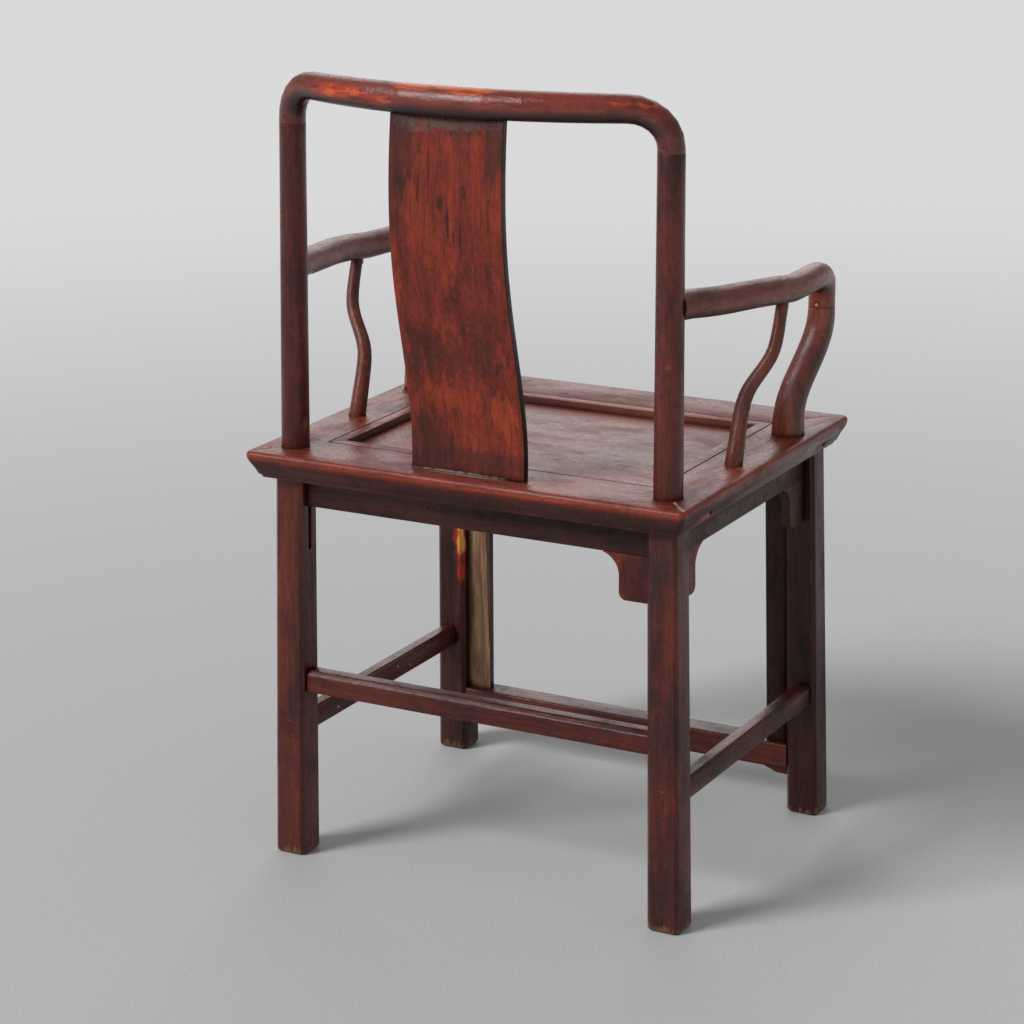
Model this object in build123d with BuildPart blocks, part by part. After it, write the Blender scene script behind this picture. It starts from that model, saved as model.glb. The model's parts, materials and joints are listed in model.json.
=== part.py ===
"""Ming style armchair, built as the separate pieces that a joiner would cut.

Millimetres, +Z up. The sitter faces -Y, so the sitter's left is +X. The origin is on the floor, under the
middle of the bounding box. The seat's own centre lies seat_y along Y, and everything is placed from there.
"""

import os
from math import cos, radians, sin

from build123d import *

os.makedirs("parts", exist_ok=True)

# Driving dimensions of the whole chair
seat_height = 500
seat_width = 558
seat_depth = 459
frame_thickness = 32
leg_size = 36.2
leg_foot_gain = 3.5
leg_span = 477
rear_leg_back = 183.7
front_leg_front = 191.2
leg_splay = 6.65
crest_height = 921
arm_height = 708.8

# Fits: the gap around every tenon and tongue, and how far a cut runs past what it cuts
joint_gap = 0.2
overrun = 20

# Seat frame: mitred rails with a moulded outer edge and a rounded inner lip beside a fine groove
long_rail_width = 91.5
short_rail_width = 81.5
frame_corner_radius = 7
moulding_depth = 12.5
quirk_inset = 15
quirk_width = 2
quirk_depth = 1.5
foot_moulding_shares = [(0, 1), (0.12, 0.93)]
belly_moulding_shares = [(0.12, 0.76), (0.36, 0.49), (0.58, 0.19), (0.7, 0.06), (0.82, 0)]
lip_moulding_shares = [(0.9, 0.03), (0.945, 0.1), (0.983, 0.26), (1, 0.45)]
rail_tenon_width = 30
rail_tenon_thickness = 8
rail_tenon_low = 4.5
rail_tenon_inset = 5
rail_tenon_recess = 9

# Seat panel: raised field, bevelled border and a tongue in the rails, braced by two dovetailed battens
panel_thickness = 13
panel_edge_drop = 9
field_drop = 4.5
panel_bevel = 57
panel_tongue_reach = 7
panel_tongue_thickness = 6
panel_tongue_low = 4.5
batten_spacing = 190
batten_width = 30
batten_depth = 15
dovetail_depth = 4
dovetail_neck = 20
dovetail_head = 25
batten_tenon_length = 12
batten_tenon_depth = 9

# Legs and rear posts
leg_corner = 4.5
foot_chamfer = 3
post_foot_radius = 16.5
post_top_radius = 15.1
post_lean_in = 3.3
post_lean_forward = 10.7
post_tenon_size = 13
post_tenon_length = 22
leg_tenon_size = 15
leg_tenon_length = 20

# Crest rail, bowed back in the middle, with ends that turn down onto the posts
crest_bow = 65
crest_middle_radius = 16.8
crest_end_drop = 1.3
crest_turn = 42
crest_leg = 4.7
crest_run_shares = [0, 0.25, 0.48, 0.68, 0.84, 0.94]
crest_turn_angles = [0, 15, 30, 45, 60, 75, 90]

# Splat: a board whose back face follows an S, a little narrower at the top
splat_foot_width = 143
splat_top_width = 138
splat_thickness = 10
splat_foot_back = 202.5
splat_bow = 41
splat_rise_shares = [0, 0.145, 0.29, 0.44, 0.585, 0.725, 0.87, 1]
splat_bow_shares = [0, 0.02, 0.29, 0.64, 0.9, 1, 0.95, 0.81]
splat_tenon_thickness = 6
splat_tenon_inset = 12
splat_foot_tenon = 12
splat_head_tenon = 9

# Arm rails, bowed outwards, falling to the front and turned down there onto the goose necks
arm_back_radius = 16.2
arm_front_radius = 15.6
arm_seat = 6
arm_run = 312
arm_bow = 40.2
arm_drop = 23.4
arm_bow_shares = [(0, 0.04, 0), (0.2, 0.43, 0.25), (0.47, 0.86, 0.46), (0.77, 0.98, 0.9), (1, 0.82, 1)]
elbow_turn = 30.5
elbow_leg = 11.7
elbow_lean_in = 6.8
arm_body_shares = [0, 0.07, 0.15, 0.25, 0.36, 0.48, 0.6, 0.71, 0.79]
elbow_shares = [0.84, 0.875, 0.905, 0.935, 0.965, 1]
arm_tenon_radius = 6
arm_tenon_length = 12

# Goose necks, standing on the short rails behind the front corners
neck_foot_x = 248
neck_foot_front = 117.3
neck_foot_radius = 19.4
neck_waist_radius = 16.9
neck_sway_start_share = 0.13
neck_sway_end_share = 0.93
neck_shares = [0, 0.14, 0.26, 0.37, 0.48, 0.59, 0.7, 0.81, 0.91, 1]
neck_tenon_radius = 7
neck_tenon_length = 18

# Side posts, thin and swayed, between the short rails and the arm rails
side_post_x = 247
side_post_back = 32.7
side_post_head_share = 0.549
side_post_foot_radius = 10.4
side_post_head_radius = 7.1
side_post_flare_start_share = 0.33
side_post_flare_end_share = 0.71
side_post_shares = [0, 0.18, 0.33, 0.41, 0.48, 0.56, 0.63, 0.71, 0.85, 1]
side_tenon_radius = 5
side_tenon_length = 14

# Pins through the pipe joints
peg_radius = 2
peg_length = 20
peg_proud = 0.3

# Aprons and spandrels under the frame, and the tongues that hold them in the legs
board_thickness = 12
apron_height = 37
tongue_thickness = 6
tongue_depth = 6
spandrel_drop = 90
spandrel_foot_width = 38
spandrel_sweep = 26
spandrel_tip_angle = 75
spandrel_round = 9

# Lining of the front opening
arch_thickness = 10
arch_board_width = 30.5
arch_head = 50
arch_round = 27

# Stretchers and footrest: the heights are those of their undersides
back_stretcher_height = 205
back_stretcher_depth = 24
back_stretcher_rise = 26.5
back_stretcher_bevel = 5
side_stretcher_height = 146.5
side_stretcher_depth = 20
side_stretcher_rise = 24.5
side_stretcher_bevel = 4
side_stretcher_offset = 4
footrest_height = 58
footrest_rise = 29
footrest_depth = 32
footrest_bevel = 1.5
footrest_apron_height = 7.5
footrest_spandrel_drop = 14.5
footrest_spandrel_width = 36
stretcher_tenon_thickness = 9
stretcher_tenon_margin = 2
stretcher_tenon_length = 20

# Places worked out from the sizes above
frame_underside = seat_height - frame_thickness
opening_width = seat_width - 2 * short_rail_width
opening_depth = seat_depth - 2 * long_rail_width
leg_x = leg_span / 2
post_top_x = leg_x - post_lean_in
post_top_height = crest_height - crest_end_drop - crest_turn - crest_leg
crest_end_back = rear_leg_back - post_lean_forward
crest_back_reach = crest_end_back + crest_bow + crest_middle_radius
seat_y = -(crest_back_reach - seat_depth / 2) / 2
rear_leg_y = seat_y + rear_leg_back
front_leg_y = seat_y - front_leg_front
side_middle_y = (rear_leg_y + front_leg_y) / 2
side_leg_reach = (rear_leg_y - front_leg_y) / 2
panel_bottom = seat_height - panel_edge_drop - panel_thickness
arm_post_share = (arm_height - frame_underside) / (post_top_height - frame_underside)
arm_start_y = rear_leg_y - arm_post_share * post_lean_forward - arm_seat
arm_front_y = arm_start_y - arm_run
neck_joint_x = leg_x + arm_bow_shares[-1][1] * arm_bow - elbow_lean_in
neck_joint_y = arm_front_y - elbow_turn
neck_joint_height = arm_height - arm_drop - elbow_turn - elbow_leg
footrest_top = footrest_height + footrest_rise
half_turn_share = sin(radians(45))
under_frame = Plane.XY.offset(frame_underside)


def splay_at(height):
    """How far a leg's axis has moved outwards at this height, along X and along Y alike."""
    return leg_splay * (frame_underside - height) / frame_underside


def leg_block(side, end, corner):
    """A leg leaning and thickening outwards down to a worn foot; side and end are the signs of X and Y."""
    leg_y = rear_leg_y if end > 0 else front_leg_y
    with BuildPart() as block:
        for height, worn in ((frame_underside, 0), (foot_chamfer, 0), (0, foot_chamfer)):
            gain = leg_foot_gain * (frame_underside - height) / frame_underside
            shift = splay_at(height) + gain / 2
            width = leg_size + gain - 2 * worn
            with BuildSketch(Plane.XY.offset(height)) as section:
                with Locations((side * (leg_x + shift), leg_y + end * shift)):
                    Rectangle(width, width)
                if corner:
                    chamfer(section.vertices(), corner)
        loft(ruled=True)
    return block.part


def post_body(side, gap):
    """The round tapered post above a rear leg, or with a gap the hole that it needs."""
    foot = Vector(side * leg_x, rear_leg_y, frame_underside)
    head = Vector(side * post_top_x, seat_y + crest_end_back, post_top_height)
    axis = head - foot
    spread = (post_foot_radius - post_top_radius) * overrun / axis.length
    with BuildPart() as post:
        with Locations(Plane(origin=(foot + head) / 2, z_dir=axis)):
            Cone(
                bottom_radius=post_foot_radius + spread + gap,
                top_radius=post_top_radius - spread + gap,
                height=axis.length + 2 * overrun,
            )
        split(bisect_by=under_frame, keep=Keep.TOP)
        split(bisect_by=Plane.XY.offset(post_top_height), keep=Keep.BOTTOM)
    return post.part


def post_tenon(side, gap):
    """The square tenon on a post's top, or with a gap the socket for it in the crest rail."""
    with BuildPart() as tenon:
        with BuildSketch(Plane.XY.offset(post_top_height)):
            with Locations((side * post_top_x, seat_y + crest_end_back)):
                Rectangle(post_tenon_size + 2 * gap, post_tenon_size + 2 * gap)
        extrude(amount=post_tenon_length + gap)
    return tenon.part


def front_leg_tenon(side, gap):
    """The square tenon on a front leg's top, or with a gap its mortise across the frame's mitre."""
    with BuildPart() as tenon:
        with BuildSketch(under_frame):
            with Locations((side * leg_x, front_leg_y)):
                Rectangle(leg_tenon_size + 2 * gap, leg_tenon_size + 2 * gap)
        extrude(amount=leg_tenon_length + gap)
    return tenon.part


def side_frame(outward, middle, splay=leg_splay):
    """A plane of one side of the chair, leaning as its legs do: y runs up the legs, 0 under the frame."""
    across = Vector(0, 0, 1).cross(Vector(*outward))
    normal = Vector(*outward) * frame_underside + Vector(0, 0, splay)
    return Plane(origin=(*middle, frame_underside), x_dir=across, z_dir=normal)


def other_end(plane):
    """The same plane seen from behind, so that what is drawn at its +x end lands at its -x end."""
    return Plane(origin=plane.origin, x_dir=-plane.x_dir, z_dir=-plane.z_dir)


back_frame = side_frame((0, 1, 0), (0, rear_leg_y))
front_frame = side_frame((0, -1, 0), (0, front_leg_y))
left_frame = side_frame((1, 0, 0), (leg_x, side_middle_y))
right_frame = side_frame((-1, 0, 0), (-leg_x, side_middle_y))
outer_splay = leg_splay + leg_foot_gain
back_face = side_frame((0, 1, 0), (0, rear_leg_y + leg_size / 2), outer_splay)
front_face = side_frame((0, -1, 0), (0, front_leg_y - leg_size / 2), outer_splay)


def tongue_groove(plane, reach, length):
    """The groove in the leg at the plane's +x end, to this length below the frame."""
    with BuildPart() as groove:
        with BuildSketch(plane):
            with Locations((reach - leg_size / 2 - overrun, overrun)):
                width = overrun + tongue_depth + joint_gap
                Rectangle(width, overrun + length, align=(Align.MIN, Align.MAX))
        extrude(amount=tongue_thickness / 2 + joint_gap, both=True)
    return groove.part


def bar_along(axis_plane, centre, low, depth, height, length, bevel=0):
    """A level bar across axis_plane, its underside at low, with bevelled upper edges."""
    with BuildPart() as bar:
        with BuildSketch(axis_plane) as section:
            with Locations((centre, low)):
                Rectangle(depth, height, align=(Align.CENTER, Align.MIN))
            if bevel:
                chamfer(section.vertices().group_by(Axis.Y)[-1], bevel)
        extrude(amount=length, both=True)
    return bar.part


across_plane = Plane.YZ
along_plane = Plane(origin=(0, side_middle_y, 0), x_dir=(1, 0, 0), z_dir=(0, -1, 0))

# Where the stretchers meet the leaning legs, and the half length of each between the leg axes
back_bar_y = rear_leg_y + splay_at(back_stretcher_height + back_stretcher_rise / 2)
footrest_y = front_leg_y - splay_at(footrest_height + footrest_rise / 2)
side_bar_leg_x = leg_x + splay_at(side_stretcher_height + side_stretcher_rise / 2)
back_bar_reach = leg_x + splay_at(back_stretcher_height)
side_bar_reach = side_leg_reach + leg_splay
footrest_reach = leg_x + splay_at(footrest_height)


def back_tenon(gap):
    """The blind tenon bar of the back stretcher, or with a gap its mortises."""
    margin = stretcher_tenon_margin + back_stretcher_bevel
    reach = back_bar_reach - leg_size / 2 + stretcher_tenon_length
    return bar_along(
        across_plane,
        back_bar_y,
        back_stretcher_height + margin - gap,
        stretcher_tenon_thickness + 2 * gap,
        back_stretcher_rise - 2 * margin + 2 * gap,
        reach + gap,
    )


def footrest_tenon(gap):
    """The blind tenon bar of the footrest, or with a gap its mortises."""
    margin = stretcher_tenon_margin + footrest_bevel
    reach = footrest_reach - leg_size / 2 + stretcher_tenon_length
    return bar_along(
        across_plane,
        footrest_y,
        footrest_height + margin - gap,
        stretcher_tenon_thickness + 2 * gap,
        footrest_rise - 2 * margin + 2 * gap,
        reach + gap,
    )


def side_tenon(side, gap):
    """The tenon bar of a side stretcher, longer than the legs are apart, or with a gap its mortises."""
    return bar_along(
        along_plane,
        side * side_bar_leg_x,
        side_stretcher_height + stretcher_tenon_margin - gap,
        stretcher_tenon_thickness + 2 * gap,
        side_stretcher_rise - 2 * stretcher_tenon_margin + 2 * gap,
        side_bar_reach + leg_size,
    )


def ease(share, start, end):
    """A smooth step from 0 to 1 between the shares start and end."""
    place = min(max((share - start) / (end - start), 0), 1)
    return (1 - cos(radians(180) * place)) / 2


def upright_stations(centres, radii):
    """Stations for tube() from a vertical start, each facing the way its neighbours run."""
    steps = [later - earlier for earlier, later in zip(centres, centres[2:])]
    directions = [Vector(0, 0, 1), *steps, Vector(0, 0, 1)]
    return list(zip(centres, directions, radii))


def tube(stations, across):
    """A round rail through circles set square to its centre line."""
    with BuildPart() as rail:
        for centre, direction, radius in stations:
            with BuildSketch(Plane(origin=centre, x_dir=across, z_dir=direction)):
                Circle(radius)
        loft(ruled=True)
    return rail.part


def round_tenon(origin, direction, radius, length):
    """A plain round tenon, or its hole, from origin along direction."""
    with BuildPart() as tenon:
        with BuildSketch(Plane(origin=origin, z_dir=direction)):
            Circle(radius)
        extrude(amount=length)
    return tenon.part


def arm_route(side):
    """Centre line of an arm rail, from beside its rear post to the pipe joint on the goose neck."""
    places = [
        (side * (leg_x + bow * arm_bow), arm_start_y - run * arm_run, arm_height - drop * arm_drop)
        for run, bow, drop in arm_bow_shares
    ]
    front_x, front_y, front_z = places[-1]
    elbow = (
        front_x - side * elbow_lean_in / 2,
        front_y - elbow_turn * half_turn_share,
        front_z - elbow_turn * (1 - half_turn_share),
    )
    turned_down = (side * neck_joint_x, neck_joint_y, neck_joint_height + elbow_leg)
    end = (side * neck_joint_x, neck_joint_y, neck_joint_height)
    return Spline(*places, elbow, turned_down, end, tangents=[(side, -4, 0), (0, 0, -1)])


def crest_line():
    """Stations of the crest rail: up from one post, across the bow, and down to the other post."""
    turn_x = post_top_x - crest_turn
    turn_z = crest_height - crest_end_drop
    half = [
        (share * turn_x, crest_height - crest_end_drop * share**2, 0) for share in crest_run_shares
    ]
    for angle in crest_turn_angles:
        swing, fall = sin(radians(angle)), 1 - cos(radians(angle))
        half.append((turn_x + crest_turn * swing, turn_z - crest_turn * fall, angle))
    half.append((post_top_x, post_top_height, crest_turn_angles[-1]))
    mirrored = [(-x, z, -angle) for x, z, angle in reversed(half[1:])]
    stations = []
    for x, z, angle in mirrored + half:
        share = x / post_top_x
        slope = -2 * crest_bow * share / post_top_x
        centre = (x, seat_y + crest_end_back + crest_bow * (1 - share**2), z)
        level = cos(radians(angle))
        radius = crest_middle_radius + (post_top_radius - crest_middle_radius) * share**2
        stations.append((centre, (level, slope * level, -sin(radians(angle))), radius))
    return stations


def arm_line(route):
    """Stations of an arm rail along its route, from the thicker back end to the thinner front end."""
    stations = []
    for share in arm_body_shares + elbow_shares:
        radius = arm_back_radius + (arm_front_radius - arm_back_radius) * share
        stations.append((route @ share, route % share, radius))
    return stations


def neck_radius(share):
    """Thick at the foot, thinnest halfway, and as thick as the arm rail at the pipe joint."""
    end_radius = neck_foot_radius if share < 0.5 else arm_front_radius
    return neck_waist_radius + (end_radius - neck_waist_radius) * (1 - 2 * share) ** 2


def side_post_radius(share):
    """Thick at the foot and tapering most just above it."""
    return side_post_head_radius + (side_post_foot_radius - side_post_head_radius) * (1 - share) ** 2


def neck_line(side):
    """Stations of a goose neck, from the short rail up to the pipe joint."""
    foot = Vector(side * neck_foot_x, seat_y - neck_foot_front, seat_height)
    shift = Vector(side * neck_joint_x, neck_joint_y, neck_joint_height) - foot
    centres = []
    for share in neck_shares:
        sway = ease(share, neck_sway_start_share, neck_sway_end_share)
        centres.append(foot + Vector(sway * shift.X, sway * shift.Y, share * shift.Z))
    return upright_stations(centres, [neck_radius(share) for share in neck_shares])


def side_post_line(side, head):
    """Stations of a side post, from the short rail up to the arm rail's own centre line at head."""
    foot = Vector(side * side_post_x, seat_y + side_post_back, seat_height)
    shift = head - foot
    centres = []
    for share in side_post_shares:
        flare = ease(share, side_post_flare_start_share, side_post_flare_end_share)
        centres.append(foot + Vector(flare * shift.X, share * shift.Y, share * shift.Z))
    return upright_stations(centres, [side_post_radius(share) for share in side_post_shares])


def seat_ring():
    """The whole seat frame before its mitres are cut: moulded outside, with a quirk round the opening."""
    with BuildPart() as ring:
        for height_share, inset_share in foot_moulding_shares:
            with BuildSketch(under_frame.offset(height_share * frame_thickness)):
                trim = 2 * inset_share * moulding_depth
                RectangleRounded(seat_width - trim, seat_depth - trim, frame_corner_radius)
        loft(ruled=True)
        for height_share, inset_share in belly_moulding_shares + lip_moulding_shares:
            with BuildSketch(under_frame.offset(height_share * frame_thickness)):
                trim = 2 * inset_share * moulding_depth
                RectangleRounded(seat_width - trim, seat_depth - trim, frame_corner_radius)
        loft(ruled=True)
        with BuildSketch(under_frame):
            Rectangle(opening_width, opening_depth)
        extrude(amount=frame_thickness, mode=Mode.SUBTRACT)
        with BuildSketch(Plane.XY.offset(seat_height)):
            quirk_spread = 2 * (quirk_inset + quirk_width / 2)
            Rectangle(opening_width + quirk_spread, opening_depth + quirk_spread)
            bed_spread = 2 * (quirk_inset - quirk_width / 2)
            Rectangle(opening_width + bed_spread, opening_depth + bed_spread, mode=Mode.SUBTRACT)
        extrude(amount=-quirk_depth, mode=Mode.SUBTRACT)
        with BuildSketch(Plane.XY.offset(panel_bottom + panel_tongue_low - joint_gap)):
            groove_spread = 2 * (panel_tongue_reach + joint_gap)
            Rectangle(opening_width + groove_spread, opening_depth + groove_spread)
        extrude(amount=panel_tongue_thickness + 2 * joint_gap, mode=Mode.SUBTRACT)
    return ring.part.moved(Location((0, seat_y, 0)))


def rail_region(outward_x, outward_y):
    """The wedge of plan between the two mitre lines of the rail on this side, as a solid."""
    outer = Vector(seat_width / 2, seat_depth / 2)
    inner = Vector(opening_width / 2, opening_depth / 2)
    far = outer + (outer - inner)
    along_x = outward_y != 0
    corners = []
    for point, way in ((inner, -1), (far, -1), (far, 1), (inner, 1)):
        x = way * point.X if along_x else outward_x * point.X
        y = outward_y * point.Y if along_x else way * point.Y
        corners.append((x, seat_y + y))
    with BuildPart() as region:
        with BuildSketch(under_frame):
            Polygon(*corners, align=None)
        extrude(amount=frame_thickness)
    return region.part


def rail_tenons(side, end, gap):
    """The tenon of a long rail at one corner, or with a gap the mortise right through the short rail."""
    near = opening_depth / 2 + rail_tenon_inset - gap
    reach = overrun if gap else -rail_tenon_recess
    with BuildPart() as tenon:
        with BuildSketch(under_frame.offset(rail_tenon_low - gap)):
            with Locations((side * opening_width / 2, seat_y + end * near)):
                Rectangle(
                    short_rail_width + reach,
                    rail_tenon_width + 2 * gap,
                    align=(Align.MIN if side > 0 else Align.MAX, Align.MIN if end > 0 else Align.MAX),
                )
        extrude(amount=rail_tenon_thickness + 2 * gap)
    return tenon.part


def dovetail_outline(gap):
    """Section of a batten's dovetail, standing on the panel's underside at the origin."""
    half_neck, half_head = dovetail_neck / 2 + gap, dovetail_head / 2 + gap
    with BuildSketch() as outline:
        Polygon(
            (-half_neck, 0),
            (half_neck, 0),
            (half_head, dovetail_depth + gap),
            (-half_head, dovetail_depth + gap),
            align=None,
        )
    return outline.sketch


def batten_tenon(side, gap):
    """The tenons at both ends of a batten as one bar, or with a gap their mortises in the long rails."""
    with BuildPart() as bar:
        with BuildSketch(Plane.XZ.offset(-seat_y)):
            with Locations((side * batten_spacing / 2, panel_bottom)):
                width = dovetail_neck + 2 * gap
                Rectangle(width, batten_tenon_depth + 2 * gap, align=(Align.CENTER, Align.MAX))
        extrude(amount=opening_depth / 2 + batten_tenon_length + gap, both=True)
    return bar.part


def spandrel(plane, reach, leg):
    """A spandrel at the plane's +x end: a sweep, a short drop and a rounded toe, tongued to the leg."""
    face = reach - leg_size / 2
    toe = face - spandrel_foot_width
    with BuildPart() as piece:
        with BuildSketch(plane) as outline:
            with BuildLine():
                centre = (toe - spandrel_sweep, -apron_height - spandrel_sweep)
                sweep_arc = CenterArc(centre, spandrel_sweep, 0, spandrel_tip_angle)
                Polyline(
                    sweep_arc @ 1,
                    ((sweep_arc @ 1).X, -apron_height),
                    (reach, -apron_height),
                    (reach, -spandrel_drop),
                    (toe, -spandrel_drop),
                    sweep_arc @ 0,
                )
            make_face()
            fillet(outline.vertices().group_by(Axis.Y)[0].sort_by(Axis.X)[0], spandrel_round)
        extrude(amount=board_thickness / 2, both=True)
        add(leg, mode=Mode.SUBTRACT)
        with BuildSketch(plane):
            with Locations((face + tongue_depth, -apron_height)):
                width = tongue_depth + spandrel_foot_width / 2
                Rectangle(width, spandrel_drop - apron_height, align=(Align.MAX, Align.MAX))
        extrude(amount=tongue_thickness / 2, both=True)
    return piece.part


def apron(plane, reach, legs):
    """A plain board under the frame between two legs, cut to their faces and tongued into both."""
    with BuildPart() as board:
        with BuildSketch(plane):
            with Locations((0, overrun)):
                Rectangle(2 * reach, apron_height + overrun, align=(Align.CENTER, Align.MAX))
        extrude(amount=board_thickness / 2, both=True)
        for leg in legs:
            add(leg, mode=Mode.SUBTRACT)
        with BuildSketch(plane):
            with Locations((0, overrun)):
                width = 2 * (reach - leg_size / 2 + tongue_depth)
                Rectangle(width, apron_height + overrun, align=(Align.CENTER, Align.MAX))
        extrude(amount=tongue_thickness / 2, both=True)
        split(bisect_by=under_frame, keep=Keep.BOTTOM)
    return board.part


def arch_lining(legs):
    """The whole lining of the front opening before its mitres are cut: head board and two side boards."""
    face = leg_x - leg_size / 2
    inner_top = face - arch_board_width
    inner_foot = inner_top + leg_splay
    with BuildSketch() as opening:
        Polygon(
            (-inner_foot, -frame_underside - overrun),
            (inner_foot, -frame_underside - overrun),
            (inner_top, -arch_head),
            (-inner_top, -arch_head),
            align=None,
        )
        fillet(opening.vertices().group_by(Axis.Y)[-1], arch_round)
    with BuildPart() as lining:
        with BuildSketch(front_frame):
            with Locations((0, overrun)):
                Rectangle(2 * leg_x, frame_underside + overrun, align=(Align.CENTER, Align.MAX))
            add(opening.sketch, mode=Mode.SUBTRACT)
        extrude(amount=arch_thickness / 2, both=True)
        for leg in legs:
            add(leg, mode=Mode.SUBTRACT)
        add(arch_tongue(1, 0))
        add(arch_tongue(-1, 0))
        split(bisect_by=under_frame, keep=Keep.BOTTOM)
        split(bisect_by=Plane.XY.offset(footrest_top), keep=Keep.TOP)
    return lining.part


def arch_tongue(side, gap):
    """The tongue of a side board of the lining along its leg, or with a gap the groove for it."""
    plane = front_frame if side > 0 else other_end(front_frame)
    face = leg_x - leg_size / 2
    root = face - arch_board_width / 2
    tip = face + tongue_depth + gap
    foot = -frame_underside
    with BuildPart() as tongue:
        with BuildSketch(plane):
            Polygon(
                (root, 0),
                (tip, 0),
                (tip + leg_splay, foot),
                (root + leg_splay, foot),
                align=None,
            )
        extrude(amount=tongue_thickness / 2 + gap, both=True)
        split(bisect_by=Plane.XY.offset(footrest_top - gap), keep=Keep.TOP)
    return tongue.part


def arch_head_region():
    """What lies above the two mitres of the lining."""
    face = leg_x - leg_size / 2
    inner = face - arch_board_width
    with BuildPart() as region:
        with BuildSketch(front_frame):
            Polygon(
                (-face - arch_board_width, arch_head),
                (face + arch_board_width, arch_head),
                (inner - arch_board_width, -2 * arch_head),
                (-inner + arch_board_width, -2 * arch_head),
                align=None,
            )
        extrude(amount=arch_thickness, both=True)
    return region.part


# Blanks that many pieces are cut to
square_legs = {
    (side, end): leg_block(side, end, 0) for side in (1, -1) for end in (1, -1)
}
post_holes = [post_body(side, joint_gap) for side in (1, -1)]
arm_routes = {side: arm_route(side) for side in (1, -1)}
arm_bodies = {side: tube(arm_line(arm_routes[side]), (1, 0, 0)) for side in (1, -1)}
arm_heads = {side: arm_routes[side] @ side_post_head_share for side in (1, -1)}
neck_feet = {side: Vector(side * neck_foot_x, seat_y - neck_foot_front, seat_height) for side in (1, -1)}
side_post_feet = {side: Vector(side * side_post_x, seat_y + side_post_back, seat_height) for side in (1, -1)}
neck_heads = {side: Vector(side * neck_joint_x, neck_joint_y, neck_joint_height) for side in (1, -1)}
up = Vector(0, 0, 1)
down = Vector(0, 0, -1)


def arm_tenon(side, gap):
    """The round tenon of an arm rail in its rear post, or with a gap the hole for it."""
    route = arm_routes[side]
    heading = route % 0
    root = route @ 0 + heading * arm_back_radius
    return round_tenon(root, -heading, arm_tenon_radius + gap, arm_back_radius + arm_tenon_length + gap)


def foot_tenon(foot, radius, length, gap):
    """A round tenon down into a short rail from foot, or with a gap its hole."""
    return round_tenon(foot + up * length / 2, down, radius + gap, length * 3 / 2 + gap)


def arm_peg(side, gap):
    """The pin that locks a goose neck's tenon in the elbow, or with a gap its hole."""
    start = neck_heads[side] + Vector(0, arm_front_radius + peg_proud, 2 * peg_radius)
    return round_tenon(start, Vector(0, -1, 0), peg_radius + gap, peg_length + gap)


def crest_peg(side, gap):
    """The pin that locks a post's tenon in the crest rail, or with a gap its hole."""
    start = Vector(
        side * post_top_x,
        seat_y + crest_end_back + post_top_radius + peg_proud,
        post_top_height + 3 * peg_radius,
    )
    return round_tenon(start, Vector(0, -1, 0), peg_radius + gap, peg_length + gap)


def rear_leg(side):
    """Square leg and round post in one piece, with its tenons, mortises and tongue grooves."""
    toward_side = left_frame if side > 0 else other_end(right_frame)
    toward_back = other_end(back_frame) if side > 0 else back_frame
    groove = spandrel_drop + joint_gap
    with BuildPart() as leg:
        add(leg_block(side, 1, leg_corner))
        add(tongue_groove(toward_back, leg_x, groove), mode=Mode.SUBTRACT)
        add(tongue_groove(toward_side, side_leg_reach, groove), mode=Mode.SUBTRACT)
        add(back_tenon(joint_gap), mode=Mode.SUBTRACT)
        add(side_tenon(side, joint_gap), mode=Mode.SUBTRACT)
        add(post_body(side, 0))
        add(post_tenon(side, 0))
        add(arm_tenon(side, joint_gap), mode=Mode.SUBTRACT)
        add(crest_peg(side, joint_gap), mode=Mode.SUBTRACT)
    return leg.part


def front_leg(side):
    """Square leg with a tenon into the frame's mitre, its mortises and its two long grooves."""
    toward_side = other_end(left_frame) if side > 0 else right_frame
    with BuildPart() as leg:
        add(leg_block(side, -1, leg_corner))
        add(tongue_groove(toward_side, side_leg_reach, spandrel_drop + joint_gap), mode=Mode.SUBTRACT)
        add(arch_tongue(side, joint_gap), mode=Mode.SUBTRACT)
        add(footrest_tenon(joint_gap), mode=Mode.SUBTRACT)
        add(side_tenon(side, joint_gap), mode=Mode.SUBTRACT)
        add(front_leg_tenon(side, 0))
    return leg.part


with BuildPart() as rear_leg_left:
    add(rear_leg(1))
rear_leg_left.part.label = "rear_leg_left"
export_step(rear_leg_left.part, "parts/rear_leg_left.step")

with BuildPart() as rear_leg_right:
    add(rear_leg(-1))
rear_leg_right.part.label = "rear_leg_right"
export_step(rear_leg_right.part, "parts/rear_leg_right.step")

with BuildPart() as front_leg_left:
    add(front_leg(1))
front_leg_left.part.label = "front_leg_left"
export_step(front_leg_left.part, "parts/front_leg_left.step")

with BuildPart() as front_leg_right:
    add(front_leg(-1))
front_leg_right.part.label = "front_leg_right"
export_step(front_leg_right.part, "parts/front_leg_right.step")

ring = seat_ring()


def long_rail(end):
    """Front or back rail of the seat frame, with its two through tenons and its mortises."""
    with BuildPart() as rail:
        add(ring)
        add(rail_region(0, end), mode=Mode.INTERSECT)
        for side in (1, -1):
            add(rail_tenons(side, end, 0))
            add(batten_tenon(side, joint_gap), mode=Mode.SUBTRACT)
            if end < 0:
                add(front_leg_tenon(side, joint_gap), mode=Mode.SUBTRACT)
        if end > 0:
            add(splat_foot(joint_gap), mode=Mode.SUBTRACT)
            for hole in post_holes:
                add(hole, mode=Mode.SUBTRACT)
    return rail.part


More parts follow.
